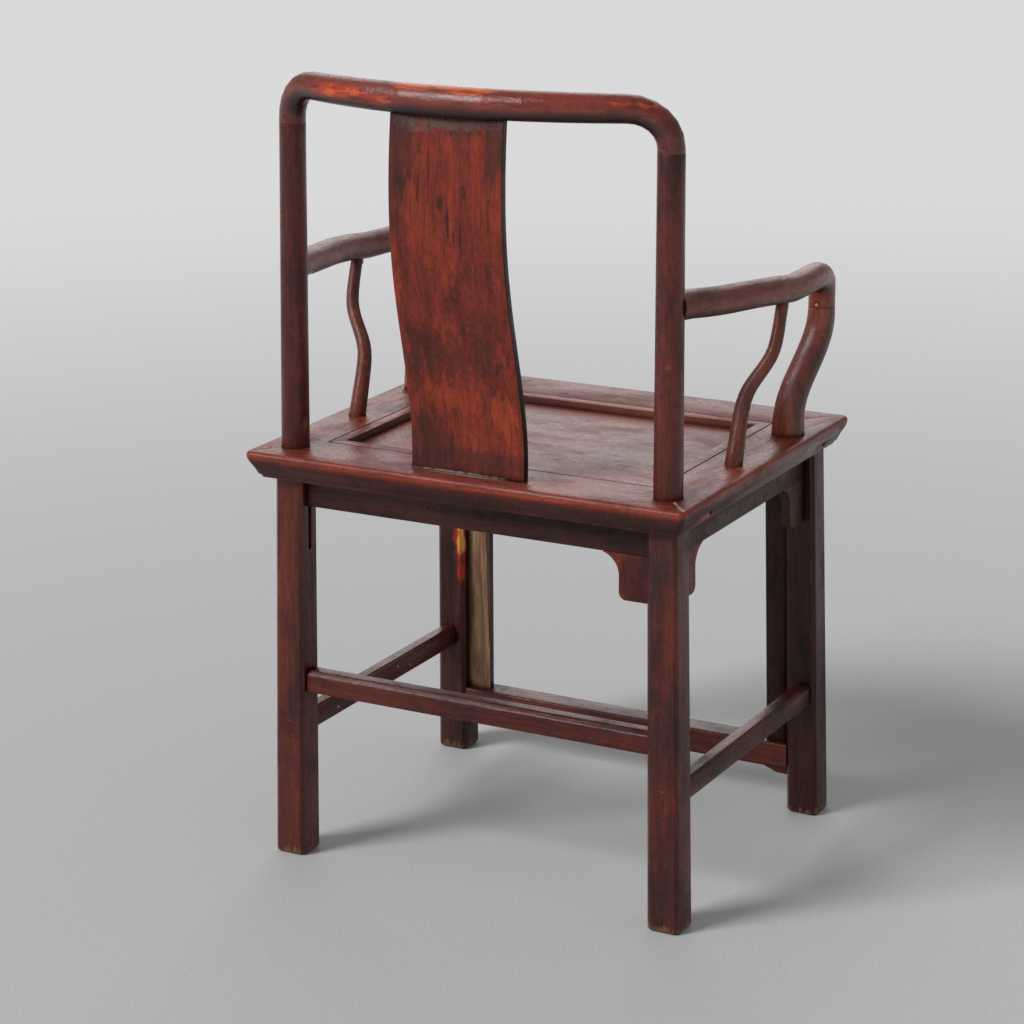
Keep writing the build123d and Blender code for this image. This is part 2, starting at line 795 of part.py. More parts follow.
def short_rail(side):
    """Left or right rail of the seat frame, with through mortises and the sockets for the arm supports."""
    with BuildPart() as rail:
        add(ring)
        add(rail_region(side, 0), mode=Mode.INTERSECT)
        for end in (1, -1):
            add(rail_tenons(side, end, joint_gap), mode=Mode.SUBTRACT)
        add(post_body(side, joint_gap), mode=Mode.SUBTRACT)
        add(front_leg_tenon(side, joint_gap), mode=Mode.SUBTRACT)
        add(foot_tenon(neck_feet[side], neck_tenon_radius, neck_tenon_length, joint_gap), mode=Mode.SUBTRACT)
        add(
            foot_tenon(side_post_feet[side], side_tenon_radius, side_tenon_length, joint_gap),
            mode=Mode.SUBTRACT,
        )
    return rail.part


def splat_foot(gap):
    """The splat's lower tenon, or with a gap its mortise in the back rail."""
    with BuildPart() as tenon:
        with BuildSketch(Plane.XY.offset(seat_height - splat_foot_tenon - gap)):
            with Locations((0, seat_y + splat_foot_back - splat_thickness / 2)):
                width = splat_foot_width - 2 * splat_tenon_inset
                Rectangle(width + 2 * gap, splat_tenon_thickness + 2 * gap)
        extrude(amount=2 * splat_foot_tenon)
    return tenon.part


def splat_head(gap):
    """The splat's upper tenon, or with a gap its slot in the crest rail."""
    head_back = splat_foot_back + splat_bow_shares[-1] * splat_bow
    low = crest_height - crest_middle_radius - splat_thickness / 2
    with BuildPart() as tenon:
        with BuildSketch(Plane.XY.offset(low)):
            with Locations((0, seat_y + head_back - splat_thickness / 2)):
                width = splat_top_width - 2 * splat_tenon_inset
                Rectangle(width + 2 * gap, splat_tenon_thickness + 2 * gap)
        extrude(amount=splat_thickness / 2 + splat_head_tenon + gap)
    return tenon.part


with BuildPart() as seat_rail_back:
    add(long_rail(1))
seat_rail_back.part.label = "seat_rail_back"
export_step(seat_rail_back.part, "parts/seat_rail_back.step")

with BuildPart() as seat_rail_front:
    add(long_rail(-1))
seat_rail_front.part.label = "seat_rail_front"
export_step(seat_rail_front.part, "parts/seat_rail_front.step")

with BuildPart() as seat_rail_left:
    add(short_rail(1))
seat_rail_left.part.label = "seat_rail_left"
export_step(seat_rail_left.part, "parts/seat_rail_left.step")

with BuildPart() as seat_rail_right:
    add(short_rail(-1))
seat_rail_right.part.label = "seat_rail_right"
export_step(seat_rail_right.part, "parts/seat_rail_right.step")

# The panel floats in the rails' groove, its raised field within a wide bevelled border
with BuildPart() as seat_panel:
    panel_width = opening_width - 2 * joint_gap
    panel_depth = opening_depth - 2 * joint_gap
    with BuildSketch(Plane.XY.offset(panel_bottom)):
        with Locations((0, seat_y)):
            Rectangle(panel_width, panel_depth)
    extrude(amount=panel_thickness)
    with BuildSketch(Plane.XY.offset(panel_bottom + panel_thickness)):
        with Locations((0, seat_y)):
            Rectangle(panel_width, panel_depth)
    with BuildSketch(Plane.XY.offset(seat_height - field_drop)):
        with Locations((0, seat_y)):
            Rectangle(panel_width - 2 * panel_bevel, panel_depth - 2 * panel_bevel)
    loft(ruled=True)
    with BuildSketch(Plane.XY.offset(panel_bottom + panel_tongue_low)):
        with Locations((0, seat_y)):
            Rectangle(opening_width + 2 * panel_tongue_reach, opening_depth + 2 * panel_tongue_reach)
    extrude(amount=panel_tongue_thickness)
    with BuildSketch(Plane.XZ):
        with Locations(*[(side * batten_spacing / 2, panel_bottom) for side in (1, -1)]):
            add(dovetail_outline(joint_gap))
    extrude(amount=seat_depth, both=True, mode=Mode.SUBTRACT)
seat_panel.part.label = "seat_panel"
export_step(seat_panel.part, "parts/seat_panel.step")


def seat_batten(side):
    """A brace dovetailed across the panel's underside and tenoned into the long rails."""
    with BuildPart() as batten:
        with BuildSketch(Plane.XZ.offset(-seat_y)):
            with Locations((side * batten_spacing / 2, panel_bottom)):
                Rectangle(batten_width, batten_depth, align=(Align.CENTER, Align.MAX))
                add(dovetail_outline(0))
        extrude(amount=opening_depth / 2, both=True)
        add(batten_tenon(side, 0))
    return batten.part


with BuildPart() as seat_batten_left:
    add(seat_batten(1))
seat_batten_left.part.label = "seat_batten_left"
export_step(seat_batten_left.part, "parts/seat_batten_left.step")

with BuildPart() as seat_batten_right:
    add(seat_batten(-1))
seat_batten_right.part.label = "seat_batten_right"
export_step(seat_batten_right.part, "parts/seat_batten_right.step")

with BuildPart() as apron_back:
    add(apron(back_frame, leg_x, [square_legs[1, 1], square_legs[-1, 1]]))
apron_back.part.label = "apron_back"
export_step(apron_back.part, "parts/apron_back.step")

with BuildPart() as apron_left:
    add(apron(left_frame, side_leg_reach, [square_legs[1, 1], square_legs[1, -1]]))
apron_left.part.label = "apron_left"
export_step(apron_left.part, "parts/apron_left.step")

with BuildPart() as apron_right:
    add(apron(right_frame, side_leg_reach, [square_legs[-1, 1], square_legs[-1, -1]]))
apron_right.part.label = "apron_right"
export_step(apron_right.part, "parts/apron_right.step")

# Both spandrels of the rear left leg are missing on the photographed chair, so there are none here
with BuildPart() as spandrel_back_right:
    add(spandrel(back_frame, leg_x, square_legs[-1, 1]))
spandrel_back_right.part.label = "spandrel_back_right"
export_step(spandrel_back_right.part, "parts/spandrel_back_right.step")

with BuildPart() as spandrel_left_front:
    add(spandrel(other_end(left_frame), side_leg_reach, square_legs[1, -1]))
spandrel_left_front.part.label = "spandrel_left_front"
export_step(spandrel_left_front.part, "parts/spandrel_left_front.step")

with BuildPart() as spandrel_right_rear:
    add(spandrel(other_end(right_frame), side_leg_reach, square_legs[-1, 1]))
spandrel_right_rear.part.label = "spandrel_right_rear"
export_step(spandrel_right_rear.part, "parts/spandrel_right_rear.step")

with BuildPart() as spandrel_right_front:
    add(spandrel(right_frame, side_leg_reach, square_legs[-1, -1]))
spandrel_right_front.part.label = "spandrel_right_front"
export_step(spandrel_right_front.part, "parts/spandrel_right_front.step")

lining = arch_lining([square_legs[1, -1], square_legs[-1, -1]])
head_region = arch_head_region()

with BuildPart() as arch_board_top:
    add(lining)
    add(head_region, mode=Mode.INTERSECT)
arch_board_top.part.label = "arch_board_top"
export_step(arch_board_top.part, "parts/arch_board_top.step")

with BuildPart() as arch_board_left:
    add(lining)
    add(head_region, mode=Mode.SUBTRACT)
    split(bisect_by=Plane.YZ, keep=Keep.TOP)
arch_board_left.part.label = "arch_board_left"
export_step(arch_board_left.part, "parts/arch_board_left.step")

with BuildPart() as arch_board_right:
    add(lining)
    add(head_region, mode=Mode.SUBTRACT)
    split(bisect_by=Plane.YZ, keep=Keep.BOTTOM)
arch_board_right.part.label = "arch_board_right"
export_step(arch_board_right.part, "parts/arch_board_right.step")

with BuildPart() as stretcher_back:
    add(
        bar_along(
            across_plane,
            back_bar_y,
            back_stretcher_height,
            back_stretcher_depth,
            back_stretcher_rise,
            back_bar_reach,
            back_stretcher_bevel,
        )
    )
    for side in (1, -1):
        add(square_legs[side, 1], mode=Mode.SUBTRACT)
    add(back_tenon(0))
stretcher_back.part.label = "stretcher_back"
export_step(stretcher_back.part, "parts/stretcher_back.step")

with BuildPart() as footrest:
    add(
        bar_along(
            across_plane,
            footrest_y,
            footrest_height,
            footrest_depth,
            footrest_rise,
            footrest_reach,
            footrest_bevel,
        )
    )
    for side in (1, -1):
        add(square_legs[side, -1], mode=Mode.SUBTRACT)
    add(footrest_tenon(0))
footrest.part.label = "footrest"
export_step(footrest.part, "parts/footrest.step")


def side_stretcher(side):
    """A side stretcher, set a little outwards of the legs' middle, with tenons right through the legs."""
    with BuildPart() as stretcher:
        add(
            bar_along(
                along_plane,
                side * (side_bar_leg_x + side_stretcher_offset),
                side_stretcher_height,
                side_stretcher_depth,
                side_stretcher_rise,
                side_bar_reach,
                side_stretcher_bevel,
            )
        )
        for end in (1, -1):
            add(square_legs[side, end], mode=Mode.SUBTRACT)
        add(side_tenon(side, 0))
        for outer_face in (back_face, front_face):
            split(bisect_by=outer_face, keep=Keep.BOTTOM)
    return stretcher.part


with BuildPart() as stretcher_left:
    add(side_stretcher(1))
stretcher_left.part.label = "stretcher_left"
export_step(stretcher_left.part, "parts/stretcher_left.step")

with BuildPart() as stretcher_right:
    add(side_stretcher(-1))
stretcher_right.part.label = "stretcher_right"
export_step(stretcher_right.part, "parts/stretcher_right.step")

with BuildPart() as footrest_apron:
    with BuildSketch(front_frame) as footrest_apron_outline:
        footrest_base = footrest_height - frame_underside
        spandrel_x = footrest_reach - leg_size / 2 - footrest_spandrel_width
        with BuildLine():
            Polyline(
                (-footrest_reach, footrest_base + footrest_rise / 2),
                (footrest_reach, footrest_base + footrest_rise / 2),
                (footrest_reach, footrest_base - footrest_spandrel_drop),
                (spandrel_x + footrest_spandrel_width / 2, footrest_base - footrest_spandrel_drop),
                (spandrel_x, footrest_base - footrest_apron_height),
                (-spandrel_x, footrest_base - footrest_apron_height),
                (-spandrel_x - footrest_spandrel_width / 2, footrest_base - footrest_spandrel_drop),
                (-footrest_reach, footrest_base - footrest_spandrel_drop),
                close=True,
            )
        make_face()
    extrude(amount=arch_thickness / 2, both=True)
    for side in (1, -1):
        add(square_legs[side, -1], mode=Mode.SUBTRACT)
    split(bisect_by=Plane.XY.offset(footrest_height), keep=Keep.BOTTOM)
footrest_apron.part.label = "footrest_apron"
export_step(footrest_apron.part, "parts/footrest_apron.step")

crest_body = tube(crest_line(), (0, 1, 0))

with BuildPart() as crest_rail:
    add(crest_body)
    for side in (1, -1):
        add(post_tenon(side, joint_gap), mode=Mode.SUBTRACT)
        add(crest_peg(side, joint_gap), mode=Mode.SUBTRACT)
    add(splat_head(joint_gap), mode=Mode.SUBTRACT)
crest_rail.part.label = "crest_rail"
export_step(crest_rail.part, "parts/crest_rail.step")

with BuildPart() as back_splat:
    splat_rise = crest_height - crest_middle_radius / 2 - seat_height
    with BuildSketch(Plane.YZ):
        with BuildLine():
            back_line = [
                (seat_y + splat_foot_back + bow * splat_bow, seat_height + rise * splat_rise)
                for rise, bow in zip(splat_rise_shares, splat_bow_shares)
            ]
            back_curve = Spline(*back_line)
            front_curve = Spline(*[(y - splat_thickness, z) for y, z in back_line])
            Line(back_curve @ 0, front_curve @ 0)
            Line(back_curve @ 1, front_curve @ 1)
        make_face()
    extrude(amount=splat_foot_width, both=True)
    with BuildSketch(Plane.XZ):
        with BuildLine():
            Polyline(
                (-splat_foot_width / 2, seat_height),
                (splat_foot_width / 2, seat_height),
                (splat_top_width / 2, crest_height),
                (-splat_top_width / 2, crest_height),
                close=True,
            )
        make_face()
    extrude(amount=seat_depth, both=True, mode=Mode.INTERSECT)
    add(crest_body, mode=Mode.SUBTRACT)
    add(splat_head(0))
    add(splat_foot(0))
back_splat.part.label = "back_splat"
export_step(back_splat.part, "parts/back_splat.step")


def arm_rail(side):
    """Arm rail with its turned-down front end, seated on the post, the goose neck and the side post."""
    with BuildPart() as rail:
        add(arm_bodies[side])
        add(post_body(side, 0), mode=Mode.SUBTRACT)
        add(arm_tenon(side, 0))
        add(neck_tenon(side, joint_gap), mode=Mode.SUBTRACT)
        add(side_post_tenon(side, joint_gap), mode=Mode.SUBTRACT)
        add(arm_peg(side, joint_gap), mode=Mode.SUBTRACT)
    return rail.part


def neck_tenon(side, gap):
    """The tenon on top of a goose neck, or with a gap its socket in the elbow."""
    root = neck_heads[side] + down * neck_tenon_length / 2
    length = neck_tenon_length * 3 / 2
    return round_tenon(root, up, neck_tenon_radius + gap, length + gap)


def side_post_tenon(side, gap):
    """The tenon on top of a side post, or with a gap its hole in the arm rail."""
    reach = side_tenon_length * 3 / 2
    return round_tenon(arm_heads[side] + down * reach, up, side_tenon_radius + gap, reach + gap)


def goose_neck(side):
    """S-curved front support, tenoned into the short rail below and pinned into the elbow above."""
    with BuildPart() as neck:
        add(tube(neck_line(side), (1, 0, 0)))
        add(foot_tenon(neck_feet[side], neck_tenon_radius, neck_tenon_length, 0))
        add(neck_tenon(side, 0))
        add(arm_peg(side, joint_gap), mode=Mode.SUBTRACT)
    return neck.part


def side_post(side):
    """Thin swayed support between the short rail and the arm rail, scribed to the arm rail's underside."""
    with BuildPart() as post:
        add(tube(side_post_line(side, arm_heads[side]), (1, 0, 0)))
        add(arm_bodies[side], mode=Mode.SUBTRACT)
        add(foot_tenon(side_post_feet[side], side_tenon_radius, side_tenon_length, 0))
        add(side_post_tenon(side, 0))
    return post.part


with BuildPart() as arm_rail_left:
    add(arm_rail(1))
arm_rail_left.part.label = "arm_rail_left"
export_step(arm_rail_left.part, "parts/arm_rail_left.step")

with BuildPart() as arm_rail_right:
    add(arm_rail(-1))
arm_rail_right.part.label = "arm_rail_right"
export_step(arm_rail_right.part, "parts/arm_rail_right.step")

with BuildPart() as goose_neck_left:
    add(goose_neck(1))
goose_neck_left.part.label = "goose_neck_left"
export_step(goose_neck_left.part, "parts/goose_neck_left.step")

with BuildPart() as goose_neck_right:
    add(goose_neck(-1))
goose_neck_right.part.label = "goose_neck_right"
export_step(goose_neck_right.part, "parts/goose_neck_right.step")

with BuildPart() as side_post_left:
    add(side_post(1))
side_post_left.part.label = "side_post_left"
export_step(side_post_left.part, "parts/side_post_left.step")

with BuildPart() as side_post_right:
    add(side_post(-1))
side_post_right.part.label = "side_post_right"
export_step(side_post_right.part, "parts/side_post_right.step")

with BuildPart() as arm_pegs:
    for side in (1, -1):
        add(arm_peg(side, 0))
arm_pegs.part.label = "arm_pegs"
export_step(arm_pegs.part, "parts/arm_pegs.step")

with BuildPart() as crest_pegs:
    for side in (1, -1):
        add(crest_peg(side, 0))
crest_pegs.part.label = "crest_pegs"
export_step(crest_pegs.part, "parts/crest_pegs.step")
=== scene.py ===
"""Looks of the Ming style armchair: worn red-brown lacquer on every piece, a pale floor and soft light."""

import json
from math import cos, radians, sin

import bpy
from mathutils import Matrix, Vector

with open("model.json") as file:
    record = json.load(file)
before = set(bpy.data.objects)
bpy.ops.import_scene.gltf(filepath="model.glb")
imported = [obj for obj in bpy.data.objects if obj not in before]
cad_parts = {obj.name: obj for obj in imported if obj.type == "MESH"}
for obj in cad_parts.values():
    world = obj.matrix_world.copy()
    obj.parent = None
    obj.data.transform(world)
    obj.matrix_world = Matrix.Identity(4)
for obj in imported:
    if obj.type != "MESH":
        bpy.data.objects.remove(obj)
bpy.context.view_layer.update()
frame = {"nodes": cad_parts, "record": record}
nodes = frame["nodes"]

MM = 0.001
SIDES = ("left", "right")
BACKWARDS = (0, 1, 0)
DOWN = (0, 0, -1)
TO_THE_RIGHT = (-1, 0, 0)

# Camera: its place in metres, the angles in degrees that turn it, and its lens and sensor in millimetres
CAMERA_PLACE = Vector((-1.568, 2.943, 1.402))
CAMERA_YAW = 28.77
CAMERA_PITCH = 16.62
CAMERA_ROLL = -0.60
CAMERA_LENS = 104.17
CAMERA_SENSOR = 36

# How near and how far the camera sees, in metres
CAMERA_NEAR = 0.1
CAMERA_FAR = 100

# Suns: where the light comes from, its breadth in degrees and its strength
SUNS = {
    "key": ((0.46, 0.64, 0.61), 22, 2.0),
    "front": ((0.40, -0.80, 0.45), 45, 0.6),
}

# The world's grey, and how strong it is as light on the chair and as it is seen past the floor's far edge
SKY_GREY = 0.90
SKY_LIGHT = 0.36
SKY_SEEN = 0.77

# Floor: its width and the distances between which it grows paler in metres, then its grit and sheen
FLOOR_WIDTH = 60
FLOOR_PALER_BETWEEN = (0.6, 4.5)
FLOOR_GRIT_SPAN = (0.35, 0.70)
FLOOR_ROUGHNESS = 0.95
FLOOR_RELIEF = 0.2 * MM
FLOOR_GLOSS = 0.1

# Rounding of the sawn edges that wear has left, with its steps and the least angle in degrees that it rounds
EDGE_WEAR = 1.4 * MM
FLUSH_EDGE_WEAR = 0.3 * MM
EDGE_STEPS = 3
EDGE_ANGLE = 32
FLUSH_PIECES = ("crest_rail", "crest_pegs")

# How near doubled corners are to be joined, and how often the bent pieces are evened
WELD_REACH = 0.01 * MM
EVENING_ROUNDS = 3

# Noises of wood and floor: scale along the grain, scale across it, detail, roughness and warp
LACQUER_NOISES = {
    "streaks": (3.5, 60, 9.0, 0.70, 0.4),
    "fibres": (16, 260, 4.0, 0.65, 0.0),
    "pores": (40, 700, 2.0, 0.60, 0.0),
    "clouds": (8, 18, 6.0, 0.66, 0.0),
    "ragged": (30, 170, 6.0, 0.72, 0.0),
    "mottle": (150, 150, 5.0, 0.74, 0.0),
    "specks": (380, 380, 1.0, 0.55, 0.0),
}
BARE_NOISES = {
    "streaks": (3.5, 60, 8.0, 0.68, 0.8),
    "fibres": (16, 260, 4.0, 0.65, 0.0),
}
FLOOR_NOISES = {"grit": (260, 260, 3.0, 0.60, 0.0)}

# Layers over a lacquer's middle tone: noise, where it starts and is full, share, whether the wood's figure
# scales that share, and tone
LACQUER_LAYERS = [
    ("streaks", 0.36, 0.66, 1.0, True, "light"),
    ("clouds", 0.46, 0.68, 0.8, True, "dark"),
    ("fibres", 0.48, 0.68, 0.4, True, "dark"),
    ("mottle", 0.50, 0.70, 0.5, False, "dark"),
    ("mottle", 0.44, 0.30, 0.5, False, "light"),
    ("pores", 0.54, 0.68, 0.5, False, "dark"),
]
LIGHTER = (1.45, 1.55, 1.35)
DARKER = (0.42, 0.40, 0.46)

# Lacquer: spans of noise, or of likeness to a direction, over which each effect comes in
RUBBED_SPAN = (0.42, 0.60)
SPECK_SPAN = (0.77, 0.82)
BARE_BACK_SPAN = (0.5, 0.8)
MARKED_BACK_SPAN = (-0.1, 0.3)
BROKEN_SPAN = (0.66, 0.44)
# Painted shade on faces that look to the sitter's right, and how far the painted shade underneath rises
FLANK_SHADE_SPAN = (0.55, 0.95)
UNDER_SHADE_RISE = 0.6
SHEEN_SPAN = (0.60, 0.95)

# Lacquer: shares, reaches of rubbed edges and of the painted shade in corners, relief, and how far its
# roughness wanders
SPECK_SHARE = 0.35
LEAST_BROKEN_SHARE = 0.55
RUBBED_REACH = 3 * MM
CORNER_SHADE_REACH = 12 * MM
RELIEF_HEIGHT = 0.7 * MM
RELIEF_SHARES = {"mottle": -0.7, "fibres": -0.6, "streaks": 0.8}
SHEEN_MOTTLE = 0.5
SMOOTHER = 0.10
ROUGHER = 0.16

# Wood that was never lacquered, with painted shade deep in its corners
BARE_STREAK_SPAN = (0.36, 0.64)
BARE_FIBRE_SPAN = (0.48, 0.66)
BARE_FIBRE_SHARE = 0.7
BARE_CORNER_SHADE_REACH = 10 * MM
BARE_CORNER_SHADE = 0.85
BARE_ROUGHNESS = 0.75
BARE_RELIEF = 0.5 * MM
BARE_GLOSS = 0.2

# Marks: how soft their edge is and how far rag pushes it in and out
MARK_EDGE = 0.3
MARK_WANDER = 5

# Likeness of two directions, as a cosine, for a sharp edge and for a tilted face, and openness in a corner
SHARP_SPAN = (0.995, 0.86)
TILTED_SPAN = (0.9997, 0.9985)
CORNER_SPAN = (0.78, 0.30)
EDGE_SAMPLES = 4
CORNER_SAMPLES = 6

# The Mix node's colour sockets, by place, because its other sockets have the same names
MIX_SHARE = 0
MIX_UNDER = 6
MIX_OVER = 7
MIXED_COLOUR = 2


def paint(red, green, blue):
    """A colour as it is seen, 0 to 255, turned into the linear values that shaders take."""
    shares = [channel / 255 for channel in (red, green, blue)]
    return tuple(((s + 0.055) / 1.055) ** 2.4 if s > 0.04045 else s / 12.92 for s in shares)


def shades(*middle):
    """The dark, middle and light tones of a lacquer whose middle colour is given, 0 to 255."""
    return {
        "dark": paint(*(channel * share for channel, share in zip(middle, DARKER))),
        "middle": paint(*middle),
        "light": paint(*(channel * share for channel, share in zip(middle, LIGHTER))),
    }


POST_TONES = shades(76, 27, 21)
STRETCHER_TONES = shades(72, 27, 22)
ARM_TONES = shades(114, 51, 41)
SIDE_POST_TONES = shades(104, 47, 39)
CREST_TONES = shades(96, 34, 26)
SPLAT_TONES = shades(112, 38, 26)
SPANDREL_TONES = shades(98, 34, 27)
SEAT_TONES = shades(118, 49, 39)
PANEL_TONES = shades(118, 60, 50)
SHADE_TONES = shades(54, 25, 22)

# Painted shade: the near-black laid on faces that look down or to the sitter's right and deep in corners
PAINTED_SHADE = paint(14, 7, 7)
SOOT = paint(30, 12, 11)
SMOKE = paint(46, 26, 24)
RUBBED = paint(176, 52, 22)
ORANGE = paint(150, 58, 30)
WORN_BRIGHT = paint(222, 96, 34)
YELLOW = paint(222, 160, 76)
ROSE = paint(150, 74, 62)
# The lighter red of the crest's painted highlight
PAINTED_HIGHLIGHT_RED = paint(142, 56, 42)
MAROON = paint(62, 23, 19)
BARE = paint(140, 98, 66)
DUST = paint(190, 168, 156)
# Pale grey-brown of real scuffs, also laid as painted light on the shaded left wall of the seat
SCUFF_AND_PAINTED_LIGHT = paint(122, 96, 90)
RAW_PALE = paint(190, 150, 114)
RAW_DARK = paint(108, 80, 62)
PLAIN_PALE = paint(132, 96, 64)
PLAIN_DARK = paint(92, 62, 42)
PEG_PALE = paint(220, 196, 166)
PEG_DARK = paint(170, 130, 92)
FLOOR_PALE = paint(204, 204, 204)
FLOOR_DARK = paint(196, 196, 196)
FLOOR_FAR = paint(240, 240, 240)


class Graph:
    """Short names for the shader nodes that the materials here are built from."""

    def __init__(self, name):
        self.material = bpy.data.materials.new(name)
        self.material.use_nodes = True
        self.tree = self.material.node_tree
        self.tree.nodes.clear()
        self.place = self.add("ShaderNodeTexCoord").outputs["Object"]
        self.way_out = self.add("ShaderNodeNewGeometry").outputs["Normal"]

    def add(self, kind, **settings):
        node = self.tree.nodes.new(kind)
        for key, value in settings.items():
            setattr(node, key, value)
        return node

    def feed(self, socket, value):
        """Links a socket to value if that is an output, and otherwise sets it."""
        if isinstance(value, bpy.types.NodeSocket):
            self.tree.links.new(value, socket)
        else:
            socket.default_value = value

    def math(self, operation, first, second, third=0.0):
        node = self.add("ShaderNodeMath", operation=operation)
        for socket, value in zip(node.inputs, (first, second, third)):
            self.feed(socket, value)
        return node.outputs[0]

    def times(self, first, second):
        return self.math("MULTIPLY", first, second)

    def vector_math(self, operation, first, second=(0, 0, 0)):
        node = self.add("ShaderNodeVectorMath", operation=operation)
        self.feed(node.inputs[0], first)
        self.feed(node.inputs[1], second)
        return node.outputs

    def ramp(self, value, low, high, out_low=0.0, out_high=1.0):
        """Smooth step of value between low and high."""
        node = self.add("ShaderNodeMapRange", interpolation_type="SMOOTHSTEP")
        for socket, number in zip(node.inputs, (value, low, high, out_low, out_high)):
            self.feed(socket, number)
        return node.outputs[0]

    def noise(self, scales, detail, roughness, warp):
        """Noise over the object, with a scale for each axis."""
        node = self.add("ShaderNodeTexNoise")
        self.feed(node.inputs["Vector"], self.vector_math("MULTIPLY", self.place, scales)[0])
        node.inputs["Scale"].default_value = 1.0
        node.inputs["Detail"].default_value = detail
        node.inputs["Roughness"].default_value = roughness
        node.inputs["Distortion"].default_value = warp
        return node.outputs["Fac"]

    def noises(self, grain, table):
        """Each noise of a table under its name, stretched along the grain's axis."""
        found = {}
        for name, (along, across, *character) in table.items():
            scales = [along if axis == grain else across for axis in "xyz"]
            found[name] = self.noise(scales, *character)
        return found

    def blend(self, share, under, over):
        """Colour under, with over laid on it by share."""
        node = self.add("ShaderNodeMix", data_type="RGBA")
        self.feed(node.inputs[MIX_SHARE], share)
        for place, value in ((MIX_UNDER, under), (MIX_OVER, over)):
            colour = value if isinstance(value, bpy.types.NodeSocket) else (*value, 1.0)
            self.feed(node.inputs[place], colour)
        return node.outputs[MIXED_COLOUR]

    def patch(self, centre, half_size, rag, wobble):
        """1 inside a soft ellipsoid, with an edge made ragged by the noise wobble, and 0 outside."""
        offset = self.vector_math("SUBTRACT", self.place, centre)[0]
        scaled = self.vector_math("DIVIDE", offset, half_size)[0]
        distance = self.vector_math("LENGTH", scaled)["Value"]
        wander = MARK_WANDER * rag
        ragged = self.math("ADD", distance, self.math("MULTIPLY_ADD", wobble, wander, -wander / 2))
        return self.ramp(ragged, 1 + MARK_EDGE, 1 - MARK_EDGE)

    def facing(self, way, low, high):
        """1 where the surface faces way, 0 where it faces elsewhere."""
        return self.ramp(self.vector_math("DOT_PRODUCT", self.way_out, way)["Value"], low, high)

    def edges(self, reach):
        """1 on sharp outer and inner edges, 0 on flat ground."""
        bevel = self.add("ShaderNodeBevel", samples=EDGE_SAMPLES)
        bevel.inputs["Radius"].default_value = reach
        alike = self.vector_math("DOT_PRODUCT", bevel.outputs["Normal"], self.way_out)["Value"]
        return self.ramp(alike, *SHARP_SPAN)

    def tilted(self):
        """1 on faces that lean a few degrees or more from level, 0 on level ones."""
        flat_out = self.add("ShaderNodeNewGeometry").outputs["True Normal"]
        level = self.vector_math("DOT_PRODUCT", flat_out, (0, 0, 1))["Value"]
        return self.ramp(level, *TILTED_SPAN)

    def corners(self, reach):
        """1 deep in the corners between pieces, 0 in the open."""
        openness = self.add("ShaderNodeAmbientOcclusion", samples=CORNER_SAMPLES)
        openness.inputs["Distance"].default_value = reach
        return self.ramp(openness.outputs["AO"], *CORNER_SPAN)

    def finish(self, colour, roughness, relief, relief_height, gloss):
        surface = self.add("ShaderNodeBsdfPrincipled")
        lift = self.add("ShaderNodeBump")
        lift.inputs["Strength"].default_value = 1.0
        lift.inputs["Distance"].default_value = relief_height
        self.feed(lift.inputs["Height"], relief)
        self.feed(surface.inputs["Base Color"], colour)
        self.feed(surface.inputs["Roughness"], roughness)
        self.feed(surface.inputs["Specular IOR Level"], gloss)
        self.feed(surface.inputs["Normal"], lift.outputs["Normal"])
        output = self.add("ShaderNodeOutputMaterial")
        self.tree.links.new(surface.outputs[0], output.inputs["Surface"])
        return self.material


def bare_figure(g, noise, pale, dark):
    """The colour of wood that was never lacquered."""
    colour = g.blend(g.ramp(noise["streaks"], *BARE_STREAK_SPAN), pale, dark)
    return g.blend(g.ramp(noise["fibres"], *BARE_FIBRE_SPAN, 0.0, BARE_FIBRE_SHARE), colour, dark)


def bare_wood(name, grain, pale, dark):
    g = Graph(name)
    noise = g.noises(grain, BARE_NOISES)
    colour = bare_figure(g, noise, pale, dark)
    # Painted shade deep in the corners
    colour = g.blend(g.times(g.corners(BARE_CORNER_SHADE_REACH), BARE_CORNER_SHADE), colour, PAINTED_SHADE)
    return g.finish(colour, BARE_ROUGHNESS, noise["fibres"], BARE_RELIEF, BARE_GLOSS)


